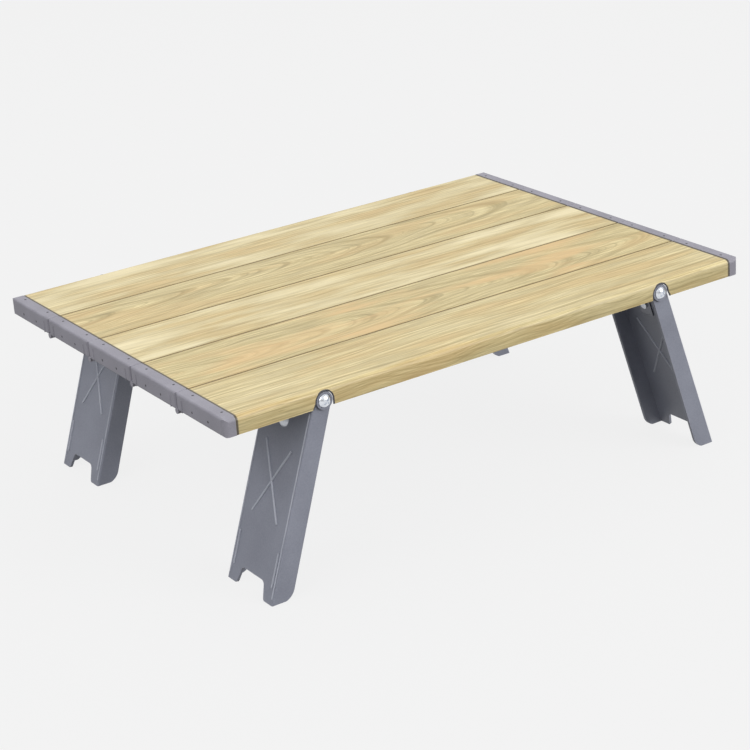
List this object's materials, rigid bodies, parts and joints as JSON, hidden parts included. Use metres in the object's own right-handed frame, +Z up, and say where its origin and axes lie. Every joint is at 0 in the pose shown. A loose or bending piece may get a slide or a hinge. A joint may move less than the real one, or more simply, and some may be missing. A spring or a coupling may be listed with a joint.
{
  "type": "folding side table",
  "caption": "Low folding side table with a roll-up slatted top on hinged end caps and splayed channel legs that fold under it.",
  "frame": {"origin": "on the ground under the middle of the tabletop, with the table open", "axes": "+X along the slats, +Y from the front edge to the back edge, +Z up"},
  "size_m": [0.4, 0.2858, 0.129],
  "materials": {
    "woodgrain_film": "light oak wood-grain film on extruded aluminium",
    "cap_plastic": "fine matt moulded ABS, warm grey",
    "leg_plastic": "matt moulded ABS, slate grey",
    "zinc_steel": "bright zinc plating"
  },
  "bodies": {
    "panel_1": {"slat_1": "woodgrain_film", "left_cap_1": "cap_plastic", "right_cap_1": "cap_plastic", "back_left_bracket": "zinc_steel", "back_left_bracket_rivets": "zinc_steel", "back_left_pivot_bolt": "zinc_steel", "back_left_nut": "zinc_steel", "back_right_bracket": "zinc_steel", "back_right_bracket_rivets": "zinc_steel", "back_right_pivot_bolt": "zinc_steel", "back_right_nut": "zinc_steel"},
    "panel_2": {"slat_2": "woodgrain_film", "left_cap_2": "cap_plastic", "right_cap_2": "cap_plastic", "hinge_pins_12": "zinc_steel"},
    "panel_3": {"slat_3": "woodgrain_film", "left_cap_3": "cap_plastic", "right_cap_3": "cap_plastic", "hinge_pins_23": "zinc_steel", "hinge_pins_34": "zinc_steel"},
    "panel_4": {"slat_4": "woodgrain_film", "left_cap_4": "cap_plastic", "right_cap_4": "cap_plastic", "hinge_pins_45": "zinc_steel"},
    "panel_5": {"slat_5": "woodgrain_film", "left_cap_5": "cap_plastic", "right_cap_5": "cap_plastic", "front_left_bracket": "zinc_steel", "front_left_bracket_rivets": "zinc_steel", "front_left_pivot_bolt": "zinc_steel", "front_left_nut": "zinc_steel", "front_right_bracket": "zinc_steel", "front_right_bracket_rivets": "zinc_steel", "front_right_pivot_bolt": "zinc_steel", "front_right_nut": "zinc_steel"},
    "leg_front_left": {"front_left_leg": "leg_plastic", "front_left_leaf_spring": "zinc_steel", "front_left_rivet": "zinc_steel"},
    "leg_front_right": {"front_right_leg": "leg_plastic", "front_right_leaf_spring": "zinc_steel", "front_right_rivet": "zinc_steel"},
    "leg_back_left": {"back_left_leg": "leg_plastic", "back_left_leaf_spring": "zinc_steel", "back_left_rivet": "zinc_steel"},
    "leg_back_right": {"back_right_leg": "leg_plastic", "back_right_leaf_spring": "zinc_steel", "back_right_rivet": "zinc_steel"}
  },
  "joints": [
    {"name": "slat_hinge_23", "type": "hinge", "parent": "panel_3", "child": "panel_2", "pos_m": [0, 0.0282, 0.1171], "axis": [-1, 0, 0], "range_deg": [0, 71.5]},
    {"name": "slat_hinge_12", "type": "hinge", "parent": "panel_2", "child": "panel_1", "pos_m": [0, 0.0846, 0.1171], "axis": [-1, 0, 0], "range_deg": [0, 71.5]},
    {"name": "slat_hinge_34", "type": "hinge", "parent": "panel_3", "child": "panel_4", "pos_m": [0, -0.0282, 0.1171], "axis": [1, 0, 0], "range_deg": [0, 71.5]},
    {"name": "slat_hinge_45", "type": "hinge", "parent": "panel_4", "child": "panel_5", "pos_m": [0, -0.0846, 0.1171], "axis": [1, 0, 0], "range_deg": [0, 71.5]},
    {"name": "leg_fold_front_left", "type": "hinge", "parent": "panel_5", "child": "leg_front_left", "pos_m": [-0.13113, -0.1128, 0.1211], "axis": [0, -1, 0], "range_deg": [0, 107.5]},
    {"name": "leg_fold_front_right", "type": "hinge", "parent": "panel_5", "child": "leg_front_right", "pos_m": [0.13113, -0.1128, 0.1211], "axis": [0, 1, 0], "range_deg": [0, 107.5]},
    {"name": "leg_fold_back_left", "type": "hinge", "parent": "panel_1", "child": "leg_back_left", "pos_m": [-0.13113, 0.1128, 0.1211], "axis": [0, -1, 0], "range_deg": [0, 107.5]},
    {"name": "leg_fold_back_right", "type": "hinge", "parent": "panel_1", "child": "leg_back_right", "pos_m": [0.13113, 0.1128, 0.1211], "axis": [0, 1, 0], "range_deg": [0, 107.5]}
  ]
}
